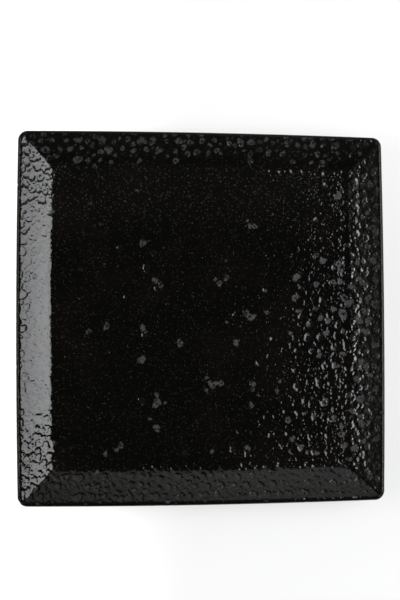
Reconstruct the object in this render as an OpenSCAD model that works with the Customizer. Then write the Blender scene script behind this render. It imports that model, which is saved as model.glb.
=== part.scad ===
// Square dinner plate of pressed stoneware, standing on its foot ring, with its middle over the origin.
// A thick gloss glaze full of burst-bubble craters lies on the face, and bare clay shows on each crater's floor.
// A thinner plain glaze covers the back, and another the panel inside the foot ring, which itself stays dry.
// Everything is drawn from one cross-section, carried round the plate as rings that follow its outline.

/* [Plate] */
// Width from the middle of one side to the middle of the opposite side
plate_w = 267; // [200:1:320]
// Height from the table to the top of the lip
plate_h = 18; // [16:0.5:22]
// Radius of the plate's corners, seen from above
corner_r = 7; // [4:0.5:12]
// How far each side swells outward between its corners
side_bow = 1.2; // [0:0.1:3]

/* [Section] */
// Thickness of the floor and the rim, clay and glaze together
wall_t = 4.8; // [4:0.1:6]
// Slope of the rim above the table, in degrees
rim_angle = 26; // [20:1:32]
// Radius of the cove where the floor turns up into the rim
cove_r = 10; // [5:0.5:15]
// Radius that softens the crease where two rims meet
crease_r = 1.5; // [0.5:0.1:3]

/* [Foot ring] */
// Height of the foot ring under the plate
foot_h = 2.5; // [1.5:0.1:4]
// Width of the foot ring
foot_w = 5; // [3:0.5:8]
// Distance from the plate's side in to the foot ring's outer wall
foot_inset = 37; // [34:1:50]
// Radius of the foot ring's corners
foot_corner_r = 14; // [6:1:24]
// Radius worn on the foot ring's two lower edges
foot_edge_r = 0.9; // [0.3:0.1:1.4]

/* [Glaze] */
// Thickness of the crater glaze on the face
face_glaze_t = 0.5; // [0.3:0.05:0.8]
// Thickness of the plain glaze on the back
back_glaze_t = 0.3; // [0.15:0.05:0.5]

/* [Craters] */
// Radius of the smallest crater's bare floor
crater_r_min = 0.9; // [0.7:0.05:1.4]
// Radius of the largest crater's bare floor
crater_r_max = 2.8; // [1.5:0.05:3.2]
// Slope of a crater's wall above the face, in degrees
crater_wall_angle = 28; // [22:1:45]
// Spacing of the cells that may each hold a crater on the floor
floor_cell = 12; // [10:0.5:20]
// Spacing along a rim of the cells that may each hold a crater
rim_cell = 9; // [7:0.5:14]

/* [Hidden] */

CLAY_COLOUR = "#3a3837";
GLAZE_COLOUR = "#0d0d0e";

// Points that draw one ring: along a side, round a corner, and on the curves of the section
side_steps = 8;
corner_steps = 6;
cove_steps = 4;
lip_steps = 7;
foot_edge_steps = 3;

// The lip is a full round of the wall's thickness, touching the plate's height and its outline
lip_r = wall_t / 2;
lip_in = lip_r;
lip_z = plate_h - lip_r;
// Where the face glaze stops, as an angle round the lip from straight up: just under its widest point
lip_end_angle = 125;
lip_back_angle = 180 - rim_angle;

// The floor, and the cove that joins it to the rim's straight slope
floor_z = foot_h + wall_t;
slope_len = (lip_z + lip_r * cos(rim_angle) - cove_r * (1 - cos(rim_angle)) - floor_z) / sin(rim_angle);
cove_in = lip_in + (lip_r + cove_r) * sin(rim_angle) + slope_len * cos(rim_angle);
cove_z = floor_z + cove_r;

// How far a crater's wall runs out from its floor, and how far its cutter runs past both sides of the glaze
crater_run = face_glaze_t / tan(crater_wall_angle);
cutter_overrun = face_glaze_t;
// How many craters are two that ran together, and how large the second is. Then how many cells hold one:
// near and far on the floor, and low and high on the rim, where rows lie closer than cells along a row.
// The left rim boiled least, so its middle holds only a share of what its ends hold.
crater_twin_share = 0.3;
crater_twin_size_share = 0.75;
floor_fill_near_share = 0.05;
floor_fill_far_share = 0.75;
rim_row_share = 0.8;
rim_fill_low_share = 0.45;
rim_fill_high_share = 0.9;
left_rim_calm_share = 0.15;

// A repeatable number from 0 to 1 for each crater cell: i counts the cells, j what is asked of one
function chance(i, j) = let (s = 43758.5453 * sin(12.9898 * i + 78.233 * j)) s - floor(s);
function mix(a, b, share) = a + (b - a) * share;

// The outline at a distance in from the plate's sides, as a ring of points at a height.
// Corners shrink with the distance, as an offset does, down to the given radius.
function ring(inset, z, least_r) =
    let (
        half = plate_w / 2 - inset,
        r = max(corner_r - inset, least_r),
        corner = half - side_bow - r,
        side = [for (i = [0:side_steps - 1])
            let (y = corner * (2 * i / side_steps - 1)) [half - side_bow * pow(y / corner, 2), y]],
        round = [for (i = [0:corner_steps - 1])
            let (a = 90 * i / corner_steps) [corner + r * cos(a), corner + r * sin(a)]],
        quarter = concat(side, round)
    )
    [for (turn = [0:90:270], p = quarter)
        [p[0] * cos(turn) - p[1] * sin(turn), p[0] * sin(turn) + p[1] * cos(turn), z]];

// A solid skinned over rings, one for each station [inset, height, corner radius] of the section.
// A closed section makes a hoop. An open one is capped flat by its first and last rings.
// Each patch splits on the same diagonal in whichever order its rings come, so clay and glaze seat exactly.
module skin(stations, closed = false) {
    rings = [for (s = stations) ring(s[0], s[1], s[2])];
    count = len(rings);
    size = len(rings[0]);
    spans = closed ? count : count - 1;
    walls = [for (i = [0:spans - 1], j = [0:size - 1])
        let (
            next = (i + 1) % count,
            a = i * size,
            b = next * size,
            k = (j + 1) % size,
            outward = stations[next][0] < stations[i][0]
        )
            outward ? [[a + j, a + k, b + j], [a + k, b + k, b + j]]
                    : [[a + j, a + k, b + k], [a + j, b + k, b + j]]];
    caps = closed ? [] : [
        [for (j = [size - 1:-1:0]) j],
        [for (j = [0:size - 1]) (count - 1) * size + j]
    ];
    polyhedron([for (r = rings) each r], concat([for (w = walls) each w], caps), convexity = 6);
}

// The cove at a depth under the face, from the floor up to the rim's slope
function cove_line(depth) = [for (i = [0:cove_steps])
    let (a = rim_angle * i / cove_steps, r = cove_r + depth)
        [cove_in - r * sin(a), cove_z - r * cos(a), crease_r]];

// The lip at a depth under its surface, between two angles measured outward from straight up
function lip_line(depth, from, to) = [for (i = [0:lip_steps])
    let (a = mix(from, to, i / lip_steps), r = lip_r - depth)
        [lip_in - r * sin(a), lip_z + r * cos(a), crease_r]];

function reversed(list) = [for (i = [len(list) - 1:-1:0]) list[i]];

// The face from the floor's edge, up the rim and over the lip to where its glaze stops
function face_line(depth) = concat(cove_line(depth), lip_line(depth, -rim_angle, lip_end_angle));

// The back from where its glaze starts under the lip, down the outside of the rim to the foot ring
function back_line(depth) = concat(
    lip_line(depth, lip_end_angle, lip_back_angle),
    reversed(cove_line(wall_t - depth)),
    [[foot_inset, foot_h + depth, foot_corner_r]]
);

// The dry foot ring, from its outer wall round its two worn edges to its inner wall
function foot_edge(corner_in, way) = [for (i = [0:foot_edge_steps])
    let (a = 90 * i / foot_edge_steps)
        [corner_in + way * foot_edge_r * (1 - cos(a)), foot_edge_r * (1 - sin(a)), foot_corner_r]];

function foot_line() = concat(
    foot_edge(foot_inset, 1),
    reversed(foot_edge(foot_inset + foot_w, -1)),
    [[foot_inset + foot_w, foot_h + back_glaze_t, foot_corner_r]]
);

// The tapered hole that a burst bubble leaves in the glaze, open from above the face to under the glaze.
// Its origin is on the face, with the face's normal up.
module crater_cutter(floor_r) {
    run_share = crater_run / face_glaze_t;
    translate([0, 0, -face_glaze_t - cutter_overrun])
        cylinder(
            h = face_glaze_t + 2 * cutter_overrun,
            r1 = max(floor_r - cutter_overrun * run_share, 0),
            r2 = floor_r + (face_glaze_t + cutter_overrun) * run_share,
            $fn = 24
        );
}

// What crater cell i holds: whether a second crater ran into it, its floor's radius, and how far both reach.
// Neither leaves the room around the cell's middle, so craters never ring round and cut a piece of glaze loose.
function is_twin(i) = chance(i, 4) < crater_twin_share;
function crater_span(i) = is_twin(i) ? 1 + crater_twin_size_share / 2 : 1;
function crater_r(i, room) = min(
    mix(crater_r_min, crater_r_max, pow(chance(i, 3), 1.3)),
    (room - crater_run) / crater_span(i)
);
function crater_reach(i, room) = crater_run + crater_r(i, room) * crater_span(i);

// Where the middle of a crater lies in a row of cells, with every other row moved on by half a cell.
// A small crater strays further from its cell's middle than a large one.
function strayed(column, cells, row, pitch, i, j, reach) =
    (column + (row % 2) / 2 + 0.5 - cells / 2) * pitch + (pitch / 2 - reach) * (2 * chance(i, j) - 1);

module crater(i, room) {
    r = crater_r(i, room);
    if (is_twin(i))
        rotate(360 * chance(i, 5)) {
            translate([-r * crater_twin_size_share / 2, 0, 0])
                crater_cutter(r);
            translate([r * (1 - crater_twin_size_share / 2), 0, 0])
                crater_cutter(r * crater_twin_size_share);
        }
    else
        crater_cutter(r);
}

// Craters over the flat floor: few on the left and at the back, more towards the right front corner
module floor_craters() {
    edge = plate_w / 2 - cove_in - side_bow;
    cells = floor(2 * edge / floor_cell);
    room = floor_cell / 2;
    for (row = [0:cells - 1], column = [0:cells - 1]) {
        i = 1 + row * cells + column;
        reach = crater_reach(i, room);
        x = strayed(column, cells, row, floor_cell, i, 1, reach);
        y = strayed(row, cells, 0, floor_cell, i, 2, reach);
        far_share = min(max((x - y / 2) / edge, 0), 1);
        filled = chance(i, 6) < mix(floor_fill_near_share, floor_fill_far_share, pow(far_share, 2));
        if (filled && max(abs(x), abs(y)) + reach < edge)
            translate([x, y, floor_z]) crater(i, room);
    }
}

// Craters up one rim, the right-hand one, thicker towards the lip and clear of the creases at its ends
module rim_craters(side) {
    rows = max(round(slope_len / (rim_cell * rim_row_share)), 1);
    row_pitch = slope_len / rows;
    cells = floor(plate_w / rim_cell);
    room = min(rim_cell, row_pitch) / 2;
    for (row = [0:rows - 1], column = [0:cells - 1]) {
        i = 1000 * (side + 1) + cells * row + column;
        reach = crater_reach(i, room);
        along_slope = slope_len / 2 + strayed(row, rows, 0, row_pitch, i, 2, reach);
        half = plate_w / 2 - lip_in - lip_r * sin(rim_angle) - along_slope * cos(rim_angle);
        z = lip_z + lip_r * cos(rim_angle) - along_slope * sin(rim_angle);
        y = strayed(column, cells, row, rim_cell, i, 1, reach);
        x = half - side_bow * pow(y / half, 2);
        calm = side == 2 ? mix(left_rim_calm_share, 1, pow(y / half, 2)) : 1;
        filled = chance(i, 6) < calm * mix(rim_fill_high_share, rim_fill_low_share, along_slope / slope_len);
        if (filled && abs(y) + side_bow + reach * sqrt(2) < half)
            translate([x, y, z]) rotate([0, -rim_angle, 0]) crater(i, room);
    }
}

// The fired clay: floor, rim and foot ring in one pressing, drawn under the glazes
module stoneware_body() {
    color(CLAY_COLOUR)
        skin(concat(face_line(face_glaze_t), back_line(back_glaze_t), foot_line()));
}

// The crater glaze on the face, fused to the clay and rolled over the lip
module face_glaze() {
    color(GLAZE_COLOUR)
        difference() {
            skin(concat(face_line(0), reversed(face_line(face_glaze_t))));
            floor_craters();
            for (side = [0:3]) rotate(90 * side) rim_craters(side);
        }
}

// The plain glaze on the outside of the rim, from under the lip to the foot ring
module back_glaze() {
    color(GLAZE_COLOUR)
        skin(concat(reversed(back_line(0)), back_line(back_glaze_t)), closed = true);
}

// The plain glaze on the panel inside the foot ring
module base_glaze() {
    color(GLAZE_COLOUR)
        skin([
            [foot_inset + foot_w, foot_h + back_glaze_t, foot_corner_r],
            [foot_inset + foot_w, foot_h, foot_corner_r]
        ]);
}

stoneware_body();
face_glaze();
back_glaze();
base_glaze();
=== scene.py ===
import math

import bmesh
import bpy
import numpy as np
from mathutils import Matrix, Quaternion, Vector, kdtree


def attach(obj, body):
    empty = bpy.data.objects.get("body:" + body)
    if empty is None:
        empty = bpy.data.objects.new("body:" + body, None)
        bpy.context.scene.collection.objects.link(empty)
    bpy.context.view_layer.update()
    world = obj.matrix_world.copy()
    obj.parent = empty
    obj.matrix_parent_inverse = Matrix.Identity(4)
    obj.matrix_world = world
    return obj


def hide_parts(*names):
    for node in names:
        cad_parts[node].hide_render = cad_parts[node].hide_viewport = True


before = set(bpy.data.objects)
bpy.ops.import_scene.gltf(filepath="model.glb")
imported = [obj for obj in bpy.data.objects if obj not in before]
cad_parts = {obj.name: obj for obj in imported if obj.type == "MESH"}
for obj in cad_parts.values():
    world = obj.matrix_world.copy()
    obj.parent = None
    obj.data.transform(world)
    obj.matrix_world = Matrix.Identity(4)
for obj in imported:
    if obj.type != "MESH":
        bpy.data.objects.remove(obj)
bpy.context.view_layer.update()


# The clay body
# One pressing of dark stoneware: flat floor, four sloping rims, a round lip, and a foot ring that is
# wiped dry before firing. Glaze covers the rest, so bare clay shows only on the foot ring.

MM = 0.001
PLATE_W = 267 * MM
PLATE_H = 18 * MM
CORNER_R = 7 * MM
SIDE_BOW = 1.2 * MM
WALL_T = 4.8 * MM
RIM_ANGLE = math.radians(26)
COVE_R = 10 * MM
CREASE_R = 1.5 * MM
FOOT_H = 2.5 * MM
FOOT_W = 5 * MM
FOOT_INSET = 37 * MM
FOOT_CORNER_R = 14 * MM
FOOT_EDGE_R = 0.9 * MM
FACE_GLAZE_T = 0.5 * MM
BACK_GLAZE_T = 0.3 * MM

# The mesh's points along a side, and its rings round each bend
SIDE_POINTS = 56
LIP_RINGS = 24
COVE_RINGS = 10
UNDER_LIP_RINGS = 6
FOOT_EDGE_RINGS = 5
TINY = 1e-9

LIP_R = WALL_T / 2
LIP_Z = PLATE_H - LIP_R
GLAZE_END = math.radians(125)
FLOOR_Z = FOOT_H + WALL_T
COVE_Z = FLOOR_Z + COVE_R
SLOPE_TOP_Z = LIP_Z + LIP_R * math.cos(RIM_ANGLE)
SLOPE_LEN = (SLOPE_TOP_Z - COVE_R * (1 - math.cos(RIM_ANGLE)) - FLOOR_Z) / math.sin(RIM_ANGLE)
SLOPE_TOP_IN = LIP_R + LIP_R * math.sin(RIM_ANGLE)
COVE_IN = SLOPE_TOP_IN + SLOPE_LEN * math.cos(RIM_ANGLE) + COVE_R * math.sin(RIM_ANGLE)
HALF_FLOOR = PLATE_W / 2 - COVE_IN

CLAY_DARK = (0.022, 0.021, 0.020, 1)
CLAY_PALE = (0.075, 0.070, 0.066, 1)
CLAY_DULL = 0.65
GROG_SIZE = 0.7 * MM
DRIFT_SIZE = 9 * MM
SAND_SIZE = 0.35 * MM
SAND_DEPTH = 0.08 * MM


def on_plate(side, along, inset, z, least_r):
    """Places on side 0 to 3, at a share -1 to 1 along it and at a distance in from the outline."""
    half = PLATE_W / 2 - inset
    fade = np.minimum(half / HALF_FLOOR, 1)
    bow = SIDE_BOW * fade
    corner_r = np.maximum(CORNER_R - inset, least_r) * fade
    straight = np.maximum(half - bow - corner_r, TINY)
    walked = np.abs(along) * (straight + corner_r * math.pi / 4)
    turn = np.maximum(walked - straight, 0) / np.maximum(corner_r, TINY)
    on_side = walked <= straight
    x = np.where(on_side, half - bow * (walked / straight) ** 2, straight + corner_r * np.cos(turn))
    y = np.where(on_side, walked, straight + corner_r * np.sin(turn)) * np.sign(along)
    east = np.take([1, 0, -1, 0], side)
    north = np.take([0, 1, 0, -1], side)
    return np.stack([x * east - y * north, x * north + y * east, z + 0 * x], axis=-1)


def lip_arc(depth, start, end, steps):
    """Stations [inset, height] round the lip, between two angles measured outward from straight up."""
    r = LIP_R - depth
    angles = np.linspace(start, end, steps + 1)
    return [(LIP_R - r * math.sin(a), LIP_Z + r * math.cos(a)) for a in angles]


def cove_arc(depth, steps):
    """Stations from the rim's slope down to the floor, at a depth under the face."""
    r = COVE_R + depth
    angles = np.linspace(RIM_ANGLE, 0, steps + 1)
    return [(COVE_IN - r * math.sin(a), COVE_Z - r * math.cos(a)) for a in angles]


def face_line(depth, lip_steps=LIP_RINGS, cove_steps=COVE_RINGS):
    """Stations of the face, from where its glaze ends under the lip, over it and down to the floor."""
    return lip_arc(depth, GLAZE_END, -RIM_ANGLE, lip_steps) + cove_arc(depth, cove_steps)


def back_line(depth):
    """Stations of the back, from under the lip down the rim's outside to the panel by the foot ring."""
    under_lip = lip_arc(depth, GLAZE_END, math.pi - RIM_ANGLE, UNDER_LIP_RINGS)
    return under_lip + cove_arc(WALL_T - depth, COVE_RINGS)


def foot_edge(corner_in, way):
    """Stations round one worn lower edge of the foot ring, from its wall to its face."""
    return [(corner_in + way * FOOT_EDGE_R * (1 - math.cos(a)), FOOT_EDGE_R * (1 - math.sin(a)))
            for a in np.linspace(0, math.pi / 2, FOOT_EDGE_RINGS + 1)]


def first_ring(bm, station, least_r):
    """Starts a ring of points on the plate's outline, closer together towards the corners."""
    side_layer = bm.verts.layers.int.get("side") or bm.verts.layers.int.new("side")
    along_layer = bm.verts.layers.float.get("along") or bm.verts.layers.float.new("along")
    made = bmesh.ops.create_circle(bm, segments=4 * SIDE_POINTS, radius=1)["verts"]
    for count, vert in enumerate(made):
        side, step = divmod(count, SIDE_POINTS)
        spread = 2 * step / SIDE_POINTS - 1
        vert[side_layer] = side
        vert[along_layer] = math.copysign(1 - (1 - abs(spread)) ** 2, spread)
        vert.co = Vector(on_plate(side, vert[along_layer], *station, least_r))
    return list({edge for vert in made for edge in vert.link_edges})


def carry(bm, edges, stations, least_r):
    """Extrudes a ring of edges through the stations, each new ring on the plate's outline there."""
    side_layer = bm.verts.layers.int["side"]
    along_layer = bm.verts.layers.float["along"]
    for inset, z in stations:
        made = bmesh.ops.extrude_edge_only(bm, edges=edges)["geom"]
        verts = [part for part in made if isinstance(part, bmesh.types.BMVert)]
        edges = [part for part in made if isinstance(part, bmesh.types.BMEdge)]
        sides = np.array([vert[side_layer] for vert in verts])
        alongs = np.array([vert[along_layer] for vert in verts])
        for vert, place in zip(verts, on_plate(sides, alongs, inset, z, least_r)):
            vert.co = Vector(place)
    return edges


def finished_piece(bm, name, material, node):
    """Turns a closed bmesh into a smooth piece of the plate that stands for a CAD node."""
    bmesh.ops.recalc_face_normals(bm, faces=bm.faces)
    for face in bm.faces:
        face.smooth = True
    mesh = bpy.data.meshes.new(name)
    bm.to_mesh(mesh)
    bm.free()
    mesh.materials.append(material)
    piece = bpy.data.objects.new(name, mesh)
    bpy.context.scene.collection.objects.link(piece)
    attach(piece, "root")
    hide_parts(node)


class Wire:
    """One output of a material's node. Arithmetic on it adds Math nodes."""

    def __init__(self, finish, socket):
        self.finish = finish
        self.socket = socket

    def math(self, operation, first, second):
        return self.finish.node("ShaderNodeMath", {"operation": operation}, {0: first, 1: second})

    def __add__(self, other):
        return self.math("ADD", self, other)

    def __sub__(self, other):
        return self.math("SUBTRACT", self, other)

    def __rsub__(self, other):
        return self.math("SUBTRACT", other, self)

    def __mul__(self, other):
        return self.math("MULTIPLY", self, other)

    __radd__ = __add__
    __rmul__ = __mul__

    def rise(self, start, end):
        """A soft step: 0 where this is below start, 1 where it is above end."""
        settings = {"interpolation_type": "SMOOTHSTEP"}
        return self.finish.node("ShaderNodeMapRange", settings, {0: self, 1: start, 2: end})


class Finish:
    """The nodes of a material, lamp or world being made. node() adds one and gives back its output."""

    def __init__(self, owner):
        owner.use_nodes = True
        self.owner = owner
        self.tree = owner.node_tree
        self.tree.nodes.clear()

    def node(self, kind, settings, sockets, output=0):
        made = self.tree.nodes.new(kind)
        for key, value in settings.items():
            setattr(made, key, value)
        for key, value in sockets.items():
            if isinstance(value, Wire):
                self.tree.links.new(value.socket, made.inputs[key])
            else:
                made.inputs[key].default_value = value
        return Wire(self, made.outputs[output]) if made.outputs else None

    def place(self, stretch=(1, 1, 1)):
        """Where a point lies on the plate, with its pattern drawn out along one way if need be."""
        where = self.node("ShaderNodeTexCoord", {}, {}, "Object")
        return self.node("ShaderNodeMapping", {}, {"Vector": where, "Scale": stretch})

    def along(self, axis):
        """How far a point lies from the plate's middle along X or Y."""
        return self.node("ShaderNodeSeparateXYZ", {}, {"Vector": self.place()}, axis)

    def cloud(self, size, detail=2.0, rough=0.5, stretch=(1, 1, 1)):
        """Soft noise from 0 to 1, whose lumps are about this size."""
        sockets = {"Vector": self.place(stretch), "Scale": 1 / size, "Detail": detail, "Roughness": rough}
        return self.node("ShaderNodeTexNoise", {}, sockets)

    def spots(self, size, shift=(0, 0, 0)):
        """How far each point is from the middle of its spot, in spots; they lie about this size apart."""
        moved = self.node("ShaderNodeVectorMath", {"operation": "ADD"}, {0: self.place(), 1: shift})
        return self.node("ShaderNodeTexVoronoi", {}, {"Vector": moved, "Scale": 1 / size})

    def mix(self, share, first, second):
        """A colour between two."""
        return self.node("ShaderNodeMix", {"data_type": "RGBA"}, {0: share, 6: first, 7: second}, 2)

    def relief(self, height, depth, under=None):
        """A normal from a height of 0 to 1 that stands for this depth, laid over another relief."""
        sockets = {"Height": height, "Distance": depth}
        if under:
            sockets["Normal"] = under
        return self.node("ShaderNodeBump", {}, sockets)

    def glass(self, **sockets):
        """Ends the material with the Principled shader. Socket names are written with _ for each space."""
        named = {key.replace("_", " "): value for key, value in sockets.items()}
        return self.end(self.node("ShaderNodeBsdfPrincipled", {}, named))

    def end(self, shader, kind="ShaderNodeOutputMaterial"):
        self.node(kind, {}, {"Surface": shader})
        return self.owner


def fired_clay():
    """Dry charcoal stoneware: sandy to the touch, with paler grog in it."""
    clay = Finish(bpy.data.materials.new("fired_clay"))
    grog = clay.cloud(GROG_SIZE, 3.0, 0.7)
    drift = clay.cloud(DRIFT_SIZE)
    colour = clay.mix(grog.rise(0.45, 0.75) * 0.6 + drift * 0.3, CLAY_DARK, CLAY_PALE)
    sand = clay.relief(clay.cloud(SAND_SIZE, 3.0, 0.6), SAND_DEPTH)
    return clay.glass(Base_Color=colour, Roughness=CLAY_DULL + grog * 0.3, Normal=sand)


clay = bmesh.new()
clay_face = face_line(FACE_GLAZE_T)
clay_foot = [(FOOT_INSET, FOOT_H + BACK_GLAZE_T), *foot_edge(FOOT_INSET, 1),
             *foot_edge(FOOT_INSET + FOOT_W, -1)[::-1], (FOOT_INSET + FOOT_W, FOOT_H + BACK_GLAZE_T)]
loop = first_ring(clay, clay_face[-1], CREASE_R)
bmesh.ops.holes_fill(clay, edges=loop)
loop = carry(clay, loop, clay_face[-2::-1], CREASE_R)
loop = carry(clay, loop, back_line(BACK_GLAZE_T), CREASE_R)
loop = carry(clay, loop, clay_foot, FOOT_CORNER_R)
bmesh.ops.holes_fill(clay, edges=loop)
finished_piece(clay, "clay_body", fired_clay(), "stoneware_body")


# The plain glaze on the back
# The same black glass as on the face, brushed on thinner and free of craters. It runs from under the lip
# down the outside of the rim to the foot ring, where it was wiped off with a sponge.

GLAZE_BLACK = (0.0018, 0.0017, 0.0014, 1)
GLAZE_BROWN = (0.010, 0.007, 0.005, 1)
BACK_DULL = 0.1
BRUSHED_SIZE = 22 * MM
BRUSHED_STRETCH = (1, 0.4, 1)
BRUSHED_DEPTH = 0.35 * MM
BACK_PEEL_SIZE = 3.5 * MM
PINHOLES_APART = 11 * MM
PINHOLE_EDGE = 0.025, 0.06
PINHOLE_DEPTH = 0.15 * MM


def plain_glaze():
    """Black gloss glass with brush waves, a few pinholes, and iron brown where it is thin."""
    glaze = Finish(bpy.data.materials.new("plain_glaze"))
    brushed = glaze.cloud(BRUSHED_SIZE, 1.0, 0.4, BRUSHED_STRETCH)
    peel = glaze.cloud(BACK_PEEL_SIZE, 1.0, 0.4)
    pinholes = 1 - glaze.spots(PINHOLES_APART).rise(*PINHOLE_EDGE)
    colour = glaze.mix(brushed.rise(0.5, 0.8) * 0.7, GLAZE_BLACK, GLAZE_BROWN)
    waves = glaze.relief(brushed * 0.8 + peel * 0.2, BRUSHED_DEPTH)
    normal = glaze.relief(1 - pinholes, PINHOLE_DEPTH, waves)
    return glaze.glass(Base_Color=colour, Roughness=BACK_DULL + pinholes * 0.5, Normal=normal)


PLAIN_GLAZE = plain_glaze()

back = bmesh.new()
back_outer = back_line(0)
loop = first_ring(back, back_outer[0], CREASE_R)
back_start = list(loop)
loop = carry(back, loop, back_outer[1:], CREASE_R)
loop = carry(back, loop, [(FOOT_INSET, FOOT_H), (FOOT_INSET, FOOT_H + BACK_GLAZE_T)], FOOT_CORNER_R)
loop = carry(back, loop, back_line(BACK_GLAZE_T)[::-1], CREASE_R)
bmesh.ops.bridge_loops(back, edges=loop + back_start)
finished_piece(back, "back_glaze_coat", PLAIN_GLAZE, "back_glaze")


# The plain glaze inside the foot ring
# A second, square pool of the plain glaze on the panel inside the foot ring. It crept a little way up
# the ring's wall before it froze, and its surface bends into that wall.

CREEP = 0.35 * MM
CREEP_RUN = 2 * CREEP
CREEP_RINGS = 6

pool = bmesh.new()
pool_in = FOOT_INSET + FOOT_W
pool_line = [(pool_in, FOOT_H - CREEP)]
pool_line += [(pool_in + CREEP_RUN * (1 - math.cos(a)), FOOT_H - CREEP * (1 - math.sin(a)))
              for a in np.linspace(0, math.pi / 2, CREEP_RINGS + 1)[1:]]
loop = first_ring(pool, (pool_in, FOOT_H + BACK_GLAZE_T), FOOT_CORNER_R)
bmesh.ops.holes_fill(pool, edges=loop)
loop = carry(pool, loop, pool_line, FOOT_CORNER_R)
bmesh.ops.holes_fill(pool, edges=loop)
finished_piece(pool, "base_glaze_pool", PLAIN_GLAZE, "base_glaze")


# The crater glaze on the face
# Half a millimetre of black glass that boiled in the kiln. The larger bubbles burst and left craters with
# dry satin floors, others healed to glossy dents. It is modelled as a floor sheet and a rim hoop.

SATIN_BLACK = (0.036, 0.036, 0.034, 1)
FLECK_GREY = (0.034, 0.032, 0.028, 1)
FLECK_RUST = (0.050, 0.027, 0.018, 1)
LIP_OLIVE = (0.014, 0.015, 0.012, 1)

# Craters lie in cells, and a power keeps most of them small. FLOOR_FILL and RIM_FILL say how many cells
# hold one, from the floor's calm left to its right and from a rim's top to its foot.
CRATER_R = 0.9 * MM, 2.8 * MM
CRATER_POWER = 1.3
CRATER_WALL_ANGLE = math.radians(28)
CRATER_RUN = FACE_GLAZE_T / math.tan(CRATER_WALL_ANGLE)
CRATER_DEPTH = 0.30 * MM
TWIN_SHARE, TWIN_SIZE = 0.3, 0.75
FLOOR_CELL = 12 * MM
RIM_CELL = 9 * MM
RIM_ROW = 0.8
FLOOR_FILL = 0.05, 0.75
RIM_FILL = 0.9, 0.45
LEFT_RIM_CALM = 0.15
RIM_NUMBERS = 1000

# How satin a crater's floor is: by its own chance, times a share for the right, back, left and front rim,
# or one for the plate's floor, where a few on the right are paler
CRATER_SATIN = 0.6, 1
RIM_SATIN = 0.35, 1.0, 0.25, 0.45
FLOOR_SATIN = 0.12
PALE_SHARE, PALER, PALE_FROM = 0.15, 7, 0.3 * HALF_FLOOR
BACK_FAINTER = 0.4
RIGHT_FAINTER = 0.3

# The craters' other differences from side to side, and the islands of glaze in them
RIGHT_SHALLOWER = 0.65
BACK_WIDER = 0.4 * MM
LEFT_SOFTER = 0.6 * MM
LEFT_DEPTH = 0.4, 1.1
ISLAND_SHARE = 0.25
ISLAND_LEAST_R = 1.3 * MM
ISLAND_EDGE = 0.2, 0.6
ISLAND_HEIGHT = 0.85

# Every hollow's outline wavers by shares of its radius, and its wall and raised lip span shares of the wall
OVAL, THREE_LOBED, FIVE_LOBED = 0.14, 0.10, 0.06
REACH_OF_RADIUS, REACH_OF_WALL = 1.4, 2
WALL_FOOT = -0.2
FLOOR_EDGE = -0.3, 0.3
BEAD = 0.02 * MM
BEAD_AT, BEAD_WIDE = 1.15, 0.3

# Dents lie by chance. Most are small, and the large ones keep to where the glaze boiled hardest.
DENT_R = 0.8 * MM, 3.1 * MM
DENT_POWER = 2
DENT_TRIES = 24000
DENT_CLOSENESS = 0.86
DENT_WALL = 1.0 * MM
DENT_WALL_SHARE = 0.75
DENT_SLOPE = 0.06, 0.16
DENT_DEEPEST = 0.40 * MM
DENT_SATIN = 0.4, 0.9
DRY_LEAST_R = 1.5 * MM
DRY_DENTS = 0.06, 0.35, 0.9
LARGE_RARER = 0.6
OVER_LIP = 2.2 * MM

# How hard the glaze boiled where it was calmest: at the floor's left and in the middle of the left cove
FLOOR_CALM = 0.12
LEFT_COVE_CALM = 0.25

# How much steeper the dents are on each rim, from its foot to its lip. Towards the plate's back they are
# flatter, but not in the right half of the cove there.
RIGHT_STEEPER = 3.2, 0.2
BACK_STEEPER = 1.2, 0.9
FRONT_STEEPER = 1.4, 1.1
FRONT_WALL = 1.5 * MM
BACK_FLATTER = 0.6
BACK_COVE_STEEPER = 3.5
BACK_COVE_SHARES = 0.35, 0.6

# The left rim's dents are closer, wider and softer, and strongest near its two ends and under its lip
LEFT_CLOSENESS = 0.74
LEFT_WIDER = 1.3
LEFT_WALL = 1.6 * MM
LEFT_SLOPE = 0.17, 0.27
LEFT_MIDDLE_STEEPER = 0.35
LEFT_LIP_STEEPER, LEFT_LIP_POWER = 0.6, 5
LEFT_STEEPEST = 1.4
LEFT_BACK_END, LEFT_BACK_STEEPER = (0.60, 0.78), 0.7
LEFT_FRONT_END, LEFT_FRONT_STEEPER = (0.55, 0.78), 1.1

# The glass thins towards the lip and is duller there and where it is satin. On the right rim the thin, dark
# metallic share is largest, which is painted shade on that rim
THIN_BELOW_LIP = 0.26
RIGHT_THIN_AND_SHADE = 0.68
GLAZE_DULL, THIN_DULLER, SATIN_DULLER = 0.06, 0.25, 0.75

# The glass's own patterns: how far apart they lie or how large they are, and how deep they go
DIMPLES_APART, DIMPLE_DEPTH = 2.4 * MM, 0.07 * MM
PINPRICKS_APART, PINPRICK_DEPTH = 3.4 * MM, 0.09 * MM
SWELL_SIZE, SWELL_DEPTH = 5.5 * MM, 0.26 * MM
PEEL_SIZE, PEEL_DEPTH = 1.3 * MM, 0.07 * MM
GRIT_SIZE, GRIT_DEPTH = 0.4 * MM, 0.05 * MM
SATIN_PATCH = 2.2 * MM
BROWN_PATCH = 40 * MM
FLECKS_APART, FLECK_PATCH = 2.1 * MM, 6 * MM
BLOTS_APART, BLOT_PATCH = 2.0 * MM, 2.5 * MM
RUST_PATCH = 24 * MM

# Where blots gather in a paler band of painted reflection in front of the back rim, and where they are rusty
# low on the left one
REFLECTION_BAND_FROM, REFLECTION_BAND_TO = (55 * MM, 88 * MM), (108 * MM, 113 * MM)
LEFT_RIM_TO = -104 * MM, -94 * MM
RUST_TO = -10 * MM, 30 * MM

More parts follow.
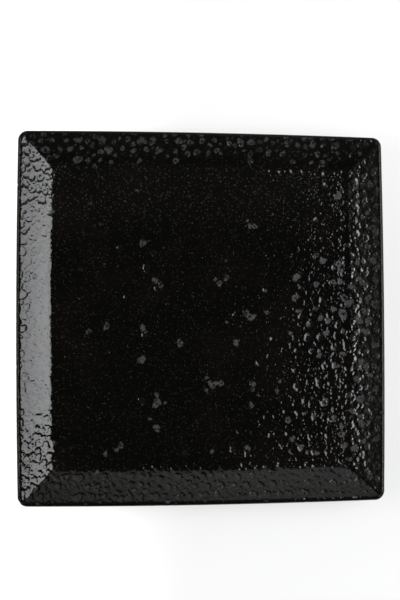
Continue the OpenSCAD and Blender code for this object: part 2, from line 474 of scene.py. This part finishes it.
# The dry scars that stand out, seen from above: x, y and radius in millimetres
SCAR_WALL = 0.6 * MM
SCAR_DEPTH = 0.08 * MM
SCAR_SATIN = 0.75
SCAR_NUMBERS = 9000
SCARS = ((-43, 54, 2.6), (-34, 27, 2.0), (-30, 24, 2.0), (10, 28, 1.3), (13, 25, 2.0), (18, 29, 2.0),
         (36, 67, 1.8), (39, 67, 1.8), (34, 71, 1.0), (33, 4, 1.7), (35, 1, 2.5), (38, 1, 1.6),
         (48, 4, 1.5), (-69, -6, 2.2), (-83, -10, 1.1), (-81, -9, 1.3), (-43, -7, 2.2), (-41, -10, 1.1),
         (18, -3, 1.1), (-80, 82, 1.1), (-47, 92, 1.0), (18, 42, 1.1), (-16, -18, 2.4), (25, -18, 2.2),
         (-44, -30, 2.8), (3, -43, 1.3), (6, -47, 2.0), (10, -47, 1.8), (14, -47, 2.0), (7, -50, 1.6),
         (3, -52, 1.4), (36, -47, 1.7), (38, -48, 1.5), (37, -52, 1.5), (-33, -55, 1.8), (-33, -61, 3.1),
         (-27, -61, 1.1), (-38, -72, 1.4), (-33, -79, 2.4), (-59, -91, 1.9), (-62, -94, 1.6),
         (-70, -97, 1.7), (7, -96, 1.5), (33, -94, 2.0), (36, -63, 1.8), (55, -53, 1.5), (70, 30, 2.6),
         (69, 15, 2.4), (72, 5, 1.8), (85, 25, 2.0), (90, 42, 2.2), (85, 46, 1.8), (102, 40, 2.2),
         (102, 90, 2.6), (88, 0, 2.0), (92, -11, 2.2), (84, 7, 1.5), (79, -5, 1.8), (103, 35, 2.0),
         (103, 27, 2.0), (110, 23, 1.8), (106, 15, 2.5), (109, 11, 2.7), (105, 3, 3.3), (116, -2, 2.6),
         (118, 26, 2.0), (116, 29, 1.6), (125, 42, 2.6), (125, 66, 2.1), (115, 85, 1.6), (114, 97, 2.1),
         (124, 98, 2.2), (129, 94, 1.8), (119, 5, 2.0), (126, 10, 2.5), (122, 15, 2.1), (122, -2, 2.5),
         (120, -10, 2.5), (115, 41, 2.0), (129, 37, 1.8), (126, -20, 2.1), (104, -27, 2.4), (87, -27, 1.6),
         (63, -74, 2.3), (117, -32, 2.3), (120, -36, 2.1), (123, -42, 1.7), (126, -52, 2.1), (116, -59, 2.6),
         (123, -59, 1.9), (117, -77, 2.8), (103, -85, 2.3), (105, -93, 2.5), (97, -74, 1.9), (103, -79, 1.9),
         (112, -95, 2.6), (126, -88, 2.2), (118, -90, 1.7), (122, -115, 2.2), (108, -103, 1.9))

craters = []


def chance(i, j):
    """A repeatable number from 0 to 1: i counts the cells, j what is asked of one."""
    s = 43758.5453 * math.sin(math.radians(12.9898 * i + 78.233 * j))
    return s - math.floor(s)


def between(ends, share):
    """The value that lies at this share of the way from one end to the other."""
    return ends[0] + (ends[1] - ends[0]) * share


def soft_step(value, start, end):
    """0 before the start, 1 past the end, and a soft rise between them."""
    share = np.clip((value - start) / (end - start), 0, 1)
    return share * share * (3 - 2 * share)


def crater_size(i, room):
    """The radius of crater cell i's floor, its reach, and whether a second crater ran into it."""
    twin = chance(i, 4) < TWIN_SHARE
    span = 1 + TWIN_SIZE / 2 if twin else 1
    radius = min(between(CRATER_R, chance(i, 3) ** CRATER_POWER), (room - CRATER_RUN) / span)
    return radius, CRATER_RUN + radius * span, twin


def strayed(column, cells, row, pitch, i, j, reach):
    """A crater's place along a row of cells, strayed from its cell's middle but still inside the cell.
    Every other row is shifted by half a cell."""
    stray = (pitch / 2 - reach) * (2 * chance(i, j) - 1)
    return (column + (row % 2) / 2 + 0.5 - cells / 2) * pitch + stray


def add_crater(i, room, place, outward, upward):
    """A crater, or two that ran together, on a surface that rises outward."""
    radius, _, twin = crater_size(i, room)
    if not twin:
        craters.append((place, radius, i))
        return
    turn = 2 * math.pi * chance(i, 5)
    apart = outward * math.cos(turn) + upward.cross(outward) * math.sin(turn)
    craters.append((place - apart * radius * TWIN_SIZE / 2, radius, i))
    craters.append((place + apart * radius * (1 - TWIN_SIZE / 2), radius * TWIN_SIZE, i + 0.5))


# The floor's craters, likelier the further to the right and front they lie
floor_edge = HALF_FLOOR - SIDE_BOW
floor_cells = math.floor(2 * floor_edge / FLOOR_CELL)
for row in range(floor_cells):
    for column in range(floor_cells):
        i = 1 + row * floor_cells + column
        reach = crater_size(i, FLOOR_CELL / 2)[1]
        x = strayed(column, floor_cells, row, FLOOR_CELL, i, 1, reach)
        y = strayed(row, floor_cells, 0, FLOOR_CELL, i, 2, reach)
        far = min(max((x - y / 2) / floor_edge, 0), 1)
        if chance(i, 6) < between(FLOOR_FILL, far ** 2) and max(abs(x), abs(y)) + reach < floor_edge:
            add_crater(i, FLOOR_CELL / 2, Vector((x, y, FLOOR_Z)), Vector((1, 0, 0)), Vector((0, 0, 1)))

# The rims' craters, in rows up each slope
rim_rows = max(round(SLOPE_LEN / (RIM_CELL * RIM_ROW)), 1)
row_pitch = SLOPE_LEN / rim_rows
rim_cells = math.floor(PLATE_W / RIM_CELL)
rim_room = min(RIM_CELL, row_pitch) / 2
slope_outward = Vector((math.cos(RIM_ANGLE), 0, math.sin(RIM_ANGLE)))
slope_upward = Vector((-math.sin(RIM_ANGLE), 0, math.cos(RIM_ANGLE)))
for side in range(4):
    quarter = Quaternion((0, 0, 1), side * math.pi / 2)
    for row in range(rim_rows):
        for column in range(rim_cells):
            i = RIM_NUMBERS * (side + 1) + rim_cells * row + column
            reach = crater_size(i, rim_room)[1]
            down = SLOPE_LEN / 2 + strayed(row, rim_rows, 0, row_pitch, i, 2, reach)
            half = PLATE_W / 2 - SLOPE_TOP_IN - down * math.cos(RIM_ANGLE)
            y = strayed(column, rim_cells, row, RIM_CELL, i, 1, reach)
            place = Vector((half - SIDE_BOW * (y / half) ** 2, y, SLOPE_TOP_Z - down * math.sin(RIM_ANGLE)))
            calm = between((LEFT_RIM_CALM, 1), (y / half) ** 2) if side == 2 else 1
            clear = abs(y) + SIDE_BOW + reach * math.sqrt(2) < half
            if chance(i, 6) < calm * between(RIM_FILL, down / SLOPE_LEN) and clear:
                add_crater(i, rim_room, quarter @ place, quarter @ slope_outward, quarter @ slope_upward)

# The face as one line from the glaze's end under the lip to the plate's middle, and its length unrolled
face_stations = face_line(0) + [(PLATE_W / 2, FLOOR_Z)]
line_in, line_z = np.array(face_stations).T
line_at = np.concatenate([[0], np.cumsum(np.hypot(np.diff(line_in), np.diff(line_z)))])
UNROLLED = line_at[-1]
SEAM = HALF_FLOOR - 2 * MM
SEAM_HAIR = 0.01 * MM
COVE_TOP = UNROLLED - line_at[LIP_RINGS + 1]
LIP_FOOT = UNROLLED - line_at[LIP_RINGS]

# The mesh's cells from the middle out: to the seam, the floor's end, the cove's top and over the lip
MESH_CELLS = np.cumsum([0, 90, 2, 4, 19, 11])
MESH_ENDS = np.array([0, SEAM, HALF_FLOOR, COVE_TOP, LIP_FOOT, UNROLLED])
FINER_ROUND_HOLLOWS = 0.5 * MM
FINER_BY_CREASES = 1.2 * MM
UNDER_GLAZE_RINGS = 5, 3

# Stretches over which the glaze's look changes, as distances from the middle of the plate or unrolled face
BOIL_SPAN = 0.33 * HALF_FLOOR, 0.97 * HALF_FLOOR
FLATTER_SPAN = -0.2 * HALF_FLOOR, 0.9 * HALF_FLOOR
BACK_FAINT_SPAN = 0.3 * HALF_FLOOR, HALF_FLOOR
COVE_SPAN = HALF_FLOOR + 2 * MM, HALF_FLOOR + 5 * MM
STEEPER_SPAN = HALF_FLOOR + 4 * MM, LIP_FOOT
SHALLOW_SPAN = HALF_FLOOR + 8 * MM, HALF_FLOOR + 18 * MM
RIGHT_FAINT_SPAN = HALF_FLOOR + 8 * MM, LIP_FOOT
THIN_SPAN = HALF_FLOOR + 6 * MM, LIP_FOOT
LIP_THIN_SPAN = LIP_FOOT + 1 * MM, LIP_FOOT + 2 * MM


def rolled_on(flat):
    """Takes points of the unrolled square of glaze onto the plate's face."""
    u, v = np.atleast_2d(flat).T
    big = np.maximum(np.maximum(np.abs(u), np.abs(v)), TINY)
    sides = np.where(np.abs(u) >= np.abs(v), np.where(u > 0, 0, 2), np.where(v > 0, 1, 3))
    alongs = np.choose(sides, [v, -u, -v, u]) / big
    walked = UNROLLED - big
    inset, z = np.interp(walked, line_at, line_in), np.interp(walked, line_at, line_z)
    return on_plate(sides, alongs, inset, z, CREASE_R), sides, alongs


def on_face(x, y):
    """The point of the face that lies above this place of the plan."""
    big, small = max(abs(x), abs(y)), min(abs(x), abs(y))
    inset = PLATE_W / 2 - big - SIDE_BOW * (small / big) ** 2 * min(big / HALF_FLOOR, 1)
    inward = slice(LIP_RINGS // 2, None)
    return Vector((x, y, np.interp(inset, line_in[inward], line_z[inward])))


def boiled(u, v):
    """How hard the glaze boiled at a place of the unrolled square, from 0 to 1: least at its left."""
    big = max(abs(u), abs(v))
    if big < HALF_FLOOR:
        return between((FLOOR_CALM, 1), soft_step(u - v / 4, *BOIL_SPAN))
    if u >= -abs(v):
        return 1
    up_rim = soft_step(big, HALF_FLOOR, LIP_FOOT)
    return min((v / big) ** 2 + between((LEFT_COVE_CALM, 1), up_rim), 1)


def left_end(along):
    """How near a place at this share -1 to 1 along the left rim is to its ends, from 0 to 1."""
    return soft_step(abs(along), *(LEFT_BACK_END if along > 0 else LEFT_FRONT_END))


def dent_form(u, v, luck):
    """The width and slope of a dent's wall. The rims' are steeper, most of all low on the right one. On
    the left one they are broad and gentle, and fade towards its middle."""
    big = max(abs(u), abs(v))
    slope = between(DENT_SLOPE, luck) * (1 - BACK_FLATTER * soft_step(v, *FLATTER_SPAN))
    if big < HALF_FLOOR:
        return DENT_WALL, slope
    up_rim = soft_step(big, *STEEPER_SPAN)
    if u == big:
        return DENT_WALL, slope * between(RIGHT_STEEPER, up_rim)
    if u == -big:
        steeper = LEFT_MIDDLE_STEEPER + LEFT_LIP_STEEPER * up_rim ** LEFT_LIP_POWER
        steeper += left_end(v / big) * (LEFT_BACK_STEEPER if v > 0 else LEFT_FRONT_STEEPER)
        return LEFT_WALL, between(LEFT_SLOPE, luck) * min(steeper, LEFT_STEEPEST)
    if v == -big:
        return FRONT_WALL, slope * between(FRONT_STEEPER, up_rim)
    in_cove = soft_step(u / big, *BACK_COVE_SHARES) * (1 - soft_step(big, *COVE_SPAN))
    return DENT_WALL, slope * (between(BACK_STEEPER, up_rim) + BACK_COVE_STEEPER * in_cove)


def reaching(tree, centre, reach):
    """The numbers of a tree's points within reach of a place, and how far off they are."""
    found = tree.find_range(centre, reach)
    return np.array([index for _, index, _ in found], int), np.array([off for _, _, off in found])


def point_tree(points):
    """A search tree of these points."""
    tree = kdtree.KDTree(len(points))
    for index, point in enumerate(points):
        tree.insert(point, index)
    tree.balance()
    return tree


sheet = bmesh.new()
bmesh.ops.create_grid(sheet, x_segments=2 * MESH_CELLS[-1], y_segments=2 * MESH_CELLS[-1], size=1)
for vert in sheet.verts:
    for axis in (0, 1):
        spread = np.interp(abs(vert.co[axis]) * MESH_CELLS[-1], MESH_CELLS, MESH_ENDS)
        vert.co[axis] = math.copysign(spread, vert.co[axis])
flats = np.array([vert.co[:2] for vert in sheet.verts])
places = rolled_on(flats)[0]
tree = point_tree(places)

# Hollows: the craters and scars first, then dents that crowd between them wherever the glaze boiled hard.
# Each has a place, its floor's radius, its wall's width, a depth, how satin it is, and a number.
draw = np.random.default_rng(8)
hollows = []
for place, radius, i in craters:
    wall, depth = CRATER_RUN, CRATER_DEPTH
    side = int(i // RIM_NUMBERS) - 1
    satin = between(CRATER_SATIN, chance(i, 10)) * (RIM_SATIN[side] if side >= 0 else FLOOR_SATIN)
    if side < 0 and place.x > PALE_FROM and chance(i, 11) < PALE_SHARE:
        satin *= PALER
    if side == 0:
        depth *= 1 - RIGHT_SHALLOWER * soft_step(place.x, *SHALLOW_SPAN)
    if side == 1:
        wall -= BACK_WIDER
        radius += BACK_WIDER
    if side == 2:
        wall += LEFT_SOFTER
        depth *= between(LEFT_DEPTH, left_end(place.y / abs(place.x)))
    hollows.append((place, radius, wall, depth, satin, i))
for count, (x, y, radius) in enumerate(SCARS):
    place = on_face(x * MM, y * MM)
    hollows.append((place, radius * MM, SCAR_WALL, SCAR_DEPTH, SCAR_SATIN, SCAR_NUMBERS + count))
placed = len(hollows)
circles = np.zeros((placed + DENT_TRIES, 3))
for count, (place, radius, wall, _, _, _) in enumerate(hollows):
    circles[count] = *flats[tree.find(place)[1]], radius + wall
dent_radii = np.sort(between(DENT_R, draw.random(DENT_TRIES) ** DENT_POWER))[::-1]
dent_flats = draw.uniform(-LIP_FOOT - OVER_LIP, LIP_FOOT + OVER_LIP, (DENT_TRIES, 2))
dent_places = rolled_on(dent_flats)[0]
dent_lucks = draw.random((DENT_TRIES, 4))
tries = zip(dent_radii, dent_flats, dent_places, dent_lucks)
for radius, (u, v), place, (luck, steep, dry, dull) in tries:
    apart = np.hypot(circles[:placed, 0] - u, circles[:placed, 1] - v)
    on_left = u < min(-abs(v), -HALF_FLOOR)
    closeness = LEFT_CLOSENESS if on_left else DENT_CLOSENESS
    radius *= LEFT_WIDER if on_left else 1
    crowded = (apart < closeness * (circles[:placed, 2] + radius)).any()
    if crowded or luck > boiled(u, v) ** (1 + LARGE_RARER * radius / MM):
        continue
    circles[placed] = u, v, radius
    placed += 1
    wall, slope = dent_form(u, v, steep)
    wall = min(wall, DENT_WALL_SHARE * radius)
    high = max(abs(u), abs(v)) > HALF_FLOOR + SLOPE_LEN / 2
    dry_share = DRY_DENTS[(2 if v > abs(u) else 1) if high and not on_left else 0]
    is_dry = dry < dry_share * boiled(u, v) and radius > DRY_LEAST_R
    satin = between(DENT_SATIN, dull) if is_dry else 0
    hollows.append((place, radius - wall, wall, min(wall * slope, DENT_DEEPEST), satin, placed))

# The mesh is made twice as fine at each hollow and along the creases between the rims
finer = np.zeros(len(flats), bool)
for place, radius, wall, _, _, _ in hollows:
    finer[reaching(tree, place, radius + wall + FINER_ROUND_HOLLOWS)[0]] = True
aside, ahead = np.abs(flats).T
finer |= (np.abs(aside - ahead) < FINER_BY_CREASES) & (np.maximum(aside, ahead) > HALF_FLOOR)
edges = [edge for edge in sheet.edges if finer[edge.verts[0].index] and finer[edge.verts[1].index]]
bmesh.ops.subdivide_edges(sheet, edges=edges, cuts=1, use_grid_fill=True)

flats = np.array([vert.co[:2] for vert in sheet.verts])
places, sides, alongs = rolled_on(flats)
side_layer = sheet.verts.layers.int.new("side")
along_layer = sheet.verts.layers.float.new("along")
bare_layer = sheet.verts.layers.float.new("bare")
thin_layer = sheet.verts.layers.float.new("thin")
for vert, place, side, along in zip(sheet.verts, places, sides, alongs):
    vert.co = Vector(place)
    vert[side_layer] = int(side)
    vert[along_layer] = along
sheet.normal_update()
normals = np.array([vert.normal for vert in sheet.verts])

tree = point_tree(places)
height = np.zeros(len(places))
bead = np.zeros(len(places))
bare = np.zeros(len(places))
for centre, radius, wall, depth, satin, i in hollows:
    near, off = reaching(tree, centre, REACH_OF_RADIUS * radius + REACH_OF_WALL * wall)
    if not len(near):
        continue
    aside = places[near] - np.array(centre)
    turn = np.arctan2(aside[:, 1], aside[:, 0]) - 2 * math.pi * chance(i, 7)
    wobble = OVAL * np.cos(2 * turn) + THREE_LOBED * np.cos(3 * turn + 6 * chance(i, 8))
    wobble += FIVE_LOBED * np.cos(5 * turn)
    out = off - (radius + wall / 2) * (1 + wobble) + wall / 2
    cut = 1 - soft_step(out / wall, WALL_FOOT, 1)
    floor = 1 - soft_step(out / wall, *FLOOR_EDGE)
    if chance(i, 9) < ISLAND_SHARE and radius > ISLAND_LEAST_R:
        island = 1 - soft_step(off / radius, *ISLAND_EDGE)
        cut = cut * (1 - ISLAND_HEIGHT * island)
        floor = floor * (1 - island)
    height[near] = np.minimum(height[near], -depth * cut)
    bead[near] = np.maximum(bead[near], BEAD * np.exp(-((out / wall - BEAD_AT) / BEAD_WIDE) ** 2))
    bare[near] = np.maximum(bare[near], satin * floor)
height += bead * (1 + height / CRATER_DEPTH)

# The craters' floors are fainter high on the right rim and to the right of the back one
sizes = np.abs(flats).max(axis=1)
fainter = np.where(sides == 1, BACK_FAINTER * soft_step(places[:, 0], *BACK_FAINT_SPAN), 0)
fainter = np.where(sides == 0, RIGHT_FAINTER * soft_step(sizes, *RIGHT_FAINT_SPAN), fainter)
bare *= 1 - fainter * (sizes > HALF_FLOOR)
# The right rim's larger thin share darkens its reflection there as painted shade
thin = np.where(sides == 0, RIGHT_THIN_AND_SHADE, THIN_BELOW_LIP) * soft_step(sizes, *THIN_SPAN)
thin += (1 - thin) * soft_step(sizes, *LIP_THIN_SPAN)
for vert, place, *shares in zip(sheet.verts, places + normals * height[:, None], bare, thin):
    vert.co = Vector(place)
    vert[bare_layer], vert[thin_layer] = shares


def stretch_of_sheet(outside):
    """A copy of the glaze sheet's part outside or inside the seam, and the edges that bound it."""
    part = sheet.copy()
    beyond = [max(abs(flats[vert.index])) > SEAM + SEAM_HAIR for vert in part.verts]
    within = [max(abs(flats[vert.index])) < SEAM - SEAM_HAIR for vert in part.verts]
    drop = within if outside else beyond
    gone = [face for face in part.faces if any(drop[vert.index] for vert in face.verts)]
    bmesh.ops.delete(part, geom=gone, context="FACES")
    bounds = [edge for edge in part.edges if edge.is_boundary]
    for edge in bounds:
        edge.smooth = False
    return part, bounds


def crater_glaze():
    """Black gloss glass, dimpled all over, with dry satin floors in its craters."""
    glaze = Finish(bpy.data.materials.new("crater_glaze"))
    bare = glaze.node("ShaderNodeAttribute", {"attribute_name": "bare"}, {}, "Fac")
    thin = glaze.node("ShaderNodeAttribute", {"attribute_name": "thin"}, {}, "Fac")
    satin = bare * (0.3 + 0.7 * glaze.cloud(SATIN_PATCH, 2.0, 0.6).rise(0.40, 0.52))
    brown = glaze.mix(glaze.cloud(BROWN_PATCH).rise(0.45, 0.75) * 0.2, GLAZE_BLACK, GLAZE_BROWN)
    east = glaze.along("X")
    north = glaze.along("Y")
    at_left = 1 - east.rise(*LEFT_RIM_TO)
    # The floor in front of the back rim is painted paler, a painted reflection, and its blots are made
    # stronger there
    painted_reflection_band = north.rise(*REFLECTION_BAND_FROM) * (1 - north.rise(*REFLECTION_BAND_TO))
    blots = 1 - glaze.spots(BLOTS_APART, (0.7, 0.1, 0.4)).rise(0.05, 0.42)
    blots = blots * glaze.cloud(BLOT_PATCH).rise(0.32, 0.65) * (painted_reflection_band * 0.7 + 0.50)
    mottle_and_painted_reflection = (blots + painted_reflection_band * 0.035) * (at_left * 0.4 + 1)
    flecks = 1 - glaze.spots(FLECKS_APART, (0.2, 0.3, 0.1)).rise(0.08, 0.22)
    flecks = flecks * glaze.cloud(FLECK_PATCH).rise(0.4, 0.7)
    rusty = at_left * (1 - north.rise(*RUST_TO)) * glaze.cloud(RUST_PATCH).rise(0.38, 0.55)
    fleck = glaze.mix(rusty, FLECK_GREY, FLECK_RUST)
    glossy = glaze.mix(thin, glaze.mix(flecks + mottle_and_painted_reflection, brown, fleck), LIP_OLIVE)
    colour = glaze.mix(satin, glossy, SATIN_BLACK)
    dimples = glaze.spots(DIMPLES_APART).rise(0.05, 0.5)
    pinpricks = glaze.spots(PINPRICKS_APART, (0.5, 0.5, 0.5)).rise(0.04, 0.13)
    melt = glaze.relief(glaze.cloud(SWELL_SIZE, 1.0, 0.4), SWELL_DEPTH)
    melt = glaze.relief(dimples, DIMPLE_DEPTH, melt)
    melt = glaze.relief(glaze.cloud(PEEL_SIZE, 1.0, 0.5), PEEL_DEPTH, melt)
    melt = glaze.relief(pinpricks, PINPRICK_DEPTH, melt)
    normal = glaze.relief(glaze.cloud(GRIT_SIZE, 2.0, 0.6) * satin, GRIT_DEPTH, melt)
    dull = GLAZE_DULL + thin * thin * THIN_DULLER + satin * SATIN_DULLER
    return glaze.glass(Base_Color=colour, Roughness=dull, Metallic=thin, Normal=normal)


CRATER_GLAZE = crater_glaze()

seam_foot = (PLATE_W / 2 - SEAM, FLOOR_Z - FACE_GLAZE_T)
floor_sheet, loop = stretch_of_sheet(outside=False)
loop = carry(floor_sheet, loop, [seam_foot], CREASE_R)
bmesh.ops.holes_fill(floor_sheet, edges=loop)
finished_piece(floor_sheet, "crater_glaze_floor", CRATER_GLAZE, "face_glaze")

rim_hoop, loop = stretch_of_sheet(outside=True)
middle = [edge for edge in loop if abs(edge.verts[0].co.z - FLOOR_Z) < FACE_GLAZE_T]
under_lip = [edge for edge in loop if edge not in middle]
under_face = face_line(FACE_GLAZE_T, *UNDER_GLAZE_RINGS) + [seam_foot]
under_start = first_ring(rim_hoop, under_face[0], CREASE_R)
under_end = carry(rim_hoop, under_start, under_face[1:], CREASE_R)
bmesh.ops.bridge_loops(rim_hoop, edges=under_lip + under_start)
bmesh.ops.bridge_loops(rim_hoop, edges=middle + under_end)
finished_piece(rim_hoop, "crater_glaze_rim", CRATER_GLAZE, "face_glaze")
sheet.free()


# The table and the light
# A wide white table in a dark room, whose walls are paler towards the table. A large softbox stands beyond
# the plate's right side, a bright strip and a dim panel beyond its left, and a dim panel behind it.

RIGHT_BOX = {"at": (0.72, 0.02, 0.565), "wide": 0.60, "tall": 0.84, "radiance": 6.0,
             "colour": (0.97, 0.98, 1.0)}
LEFT_STRIP = {"at": (-0.90, 0, 0.72), "wide": 1.1, "tall": 0.24, "radiance": 11}
LEFT_PANEL = {"at": (-0.77, 0, 0.965), "wide": 1.5, "tall": 0.28, "radiance": 0.48}
BACK_PANEL = {"at": (0.4, 0.9, 0.78), "wide": 1.6, "tall": 1.0, "radiance": 0.64, "fade": 1.0}
LAMP_MIDDLE = (0.5, 0.5, 0)
LAMP_CORNER = 0.7
LAMP_BRIGHTEST = 1.1
WHITE = (1, 1, 1, 1)
ROOM_TOP = 0.026
ROOM_WALL = 0.8
ROOM_DARK_FROM = 0.45

# The table, and how much more it glows on each side, growing over a stretch from the plate's middle
TABLE_HALF = 4
TABLE_WHITE = (0.30, 0.30, 0.30, 1)
TABLE_GLOW = 0.64
LEFT_GLOW, LEFT_GLOW_SPAN = 0.42, (-0.14, 0.0)
BEHIND_GLOW, BEHIND_GLOW_SPAN = 0.09, (0.0, 0.2)
BEFORE_GLOW, BEFORE_GLOW_SPAN = 0.06, (-0.2, -0.1)
FAR_GLOW, FAR_GLOW_SPAN = 0.5, (0.35, 0.8)


def hang_light(name, at, wide, tall, radiance, fade=0.5, colour=(1, 1, 1)):
    """A flat lamp that faces the plate's middle, and whose radiance falls by this share to its corners."""
    lamp = bpy.data.lights.new(name, "AREA")
    glow = Finish(lamp)
    across = glow.node("ShaderNodeNewGeometry", {}, {}, "Parametric")
    ends = {0: across, 1: LAMP_MIDDLE}
    off_middle = glow.node("ShaderNodeVectorMath", {"operation": "DISTANCE"}, ends, "Value")
    dimmed = LAMP_BRIGHTEST - off_middle.rise(0, LAMP_CORNER) * fade
    glow.end(glow.node("ShaderNodeEmission", {}, {"Strength": dimmed}), "ShaderNodeOutputLight")
    lamp.color = colour
    lamp.shape = "RECTANGLE"
    lamp.size = wide
    lamp.size_y = tall
    lamp.energy = math.pi * radiance * wide * tall
    hung = bpy.data.objects.new(name, lamp)
    hung.location = at
    hung.rotation_euler = (-Vector(at)).to_track_quat("-Z", "Y").to_euler()
    bpy.context.scene.collection.objects.link(hung)


hang_light("right_box", **RIGHT_BOX)
hang_light("left_strip", **LEFT_STRIP)
hang_light("left_panel", **LEFT_PANEL)
hang_light("back_panel", **BACK_PANEL)


def rays(finish, *kinds):
    """1 for a ray of any of these kinds, else 0."""
    return sum(finish.node("ShaderNodeLightPath", {}, {}, f"Is {kind} Ray") for kind in kinds)


def table_top():
    """White card that glows where it is looked at or mirrored, and is clear from beneath."""
    card = Finish(bpy.data.materials.new("table_top"))
    seen = rays(card, "Camera", "Glossy", "Transmission")
    left = (1 - card.along("X").rise(*LEFT_GLOW_SPAN)) * LEFT_GLOW
    behind = card.along("Y").rise(*BEHIND_GLOW_SPAN) * BEHIND_GLOW
    before = (1 - card.along("Y").rise(*BEFORE_GLOW_SPAN)) * BEFORE_GLOW
    away = card.node("ShaderNodeVectorMath", {"operation": "LENGTH"}, {0: card.place()}, "Value")
    uneven = left + behind + before + away.rise(*FAR_GLOW_SPAN) * FAR_GLOW
    white = card.node("ShaderNodeBsdfDiffuse", {}, {"Color": TABLE_WHITE})
    glow = card.node("ShaderNodeEmission", {}, {"Strength": (uneven + TABLE_GLOW) * seen})
    lit = card.node("ShaderNodeAddShader", {}, {0: white, 1: glow})
    beneath = card.node("ShaderNodeNewGeometry", {}, {}, "Backfacing")
    clear = card.node("ShaderNodeBsdfTransparent", {}, {})
    return card.end(card.node("ShaderNodeMixShader", {}, {0: beneath, 1: lit, 2: clear}))


table = bmesh.new()
bmesh.ops.create_grid(table, x_segments=2, y_segments=2, size=TABLE_HALF)
table_mesh = bpy.data.meshes.new("table")
table.to_mesh(table_mesh)
table.free()
table_mesh.materials.append(table_top())
table = bpy.data.objects.new("table", table_mesh)
bpy.context.scene.collection.objects.link(table)

bpy.context.scene.world = bpy.data.worlds.new("room")
room = Finish(bpy.context.scene.world)
looked = room.node("ShaderNodeTexCoord", {}, {}, "Generated")
height_seen = room.node("ShaderNodeSeparateXYZ", {}, {"Vector": looked}, "Z")
seen = rays(room, "Camera")
walls = (1 - height_seen.rise(0.0, ROOM_DARK_FROM)) * (ROOM_WALL - ROOM_TOP) + ROOM_TOP
strength = walls * (1 - seen) + seen
glow = room.node("ShaderNodeBackground", {}, {"Color": WHITE, "Strength": strength})
room.end(glow, "ShaderNodeOutputWorld")


# The camera
# It stands nearly straight above the plate, a little to its left, and looks down on it.

CAMERA_AT = Vector((-0.15582, -0.02996, 1.00901))
CAMERA_AIM = Vector((-0.00269, 0.01274, 0.0156))
CAMERA_ROLL = math.radians(0.235)
CAMERA_LENS = 84.2
CAMERA_LONG_SIDE = 36.0

camera = bpy.data.cameras.new("camera")
camera.lens = CAMERA_LENS
camera.sensor_width = CAMERA_LONG_SIDE
viewer = bpy.data.objects.new("camera", camera)
looking = (CAMERA_AIM - CAMERA_AT).normalized()
picture_up = Vector((math.sin(CAMERA_ROLL), math.cos(CAMERA_ROLL), 0))
picture_right = looking.cross(picture_up).normalized()
turned = Matrix((picture_right, picture_right.cross(looking), -looking)).transposed()
viewer.matrix_world = Matrix.Translation(CAMERA_AT) @ turned.to_4x4()
bpy.context.scene.collection.objects.link(viewer)
bpy.context.scene.camera = viewer

bpy.context.scene.view_settings.view_transform = "Standard"
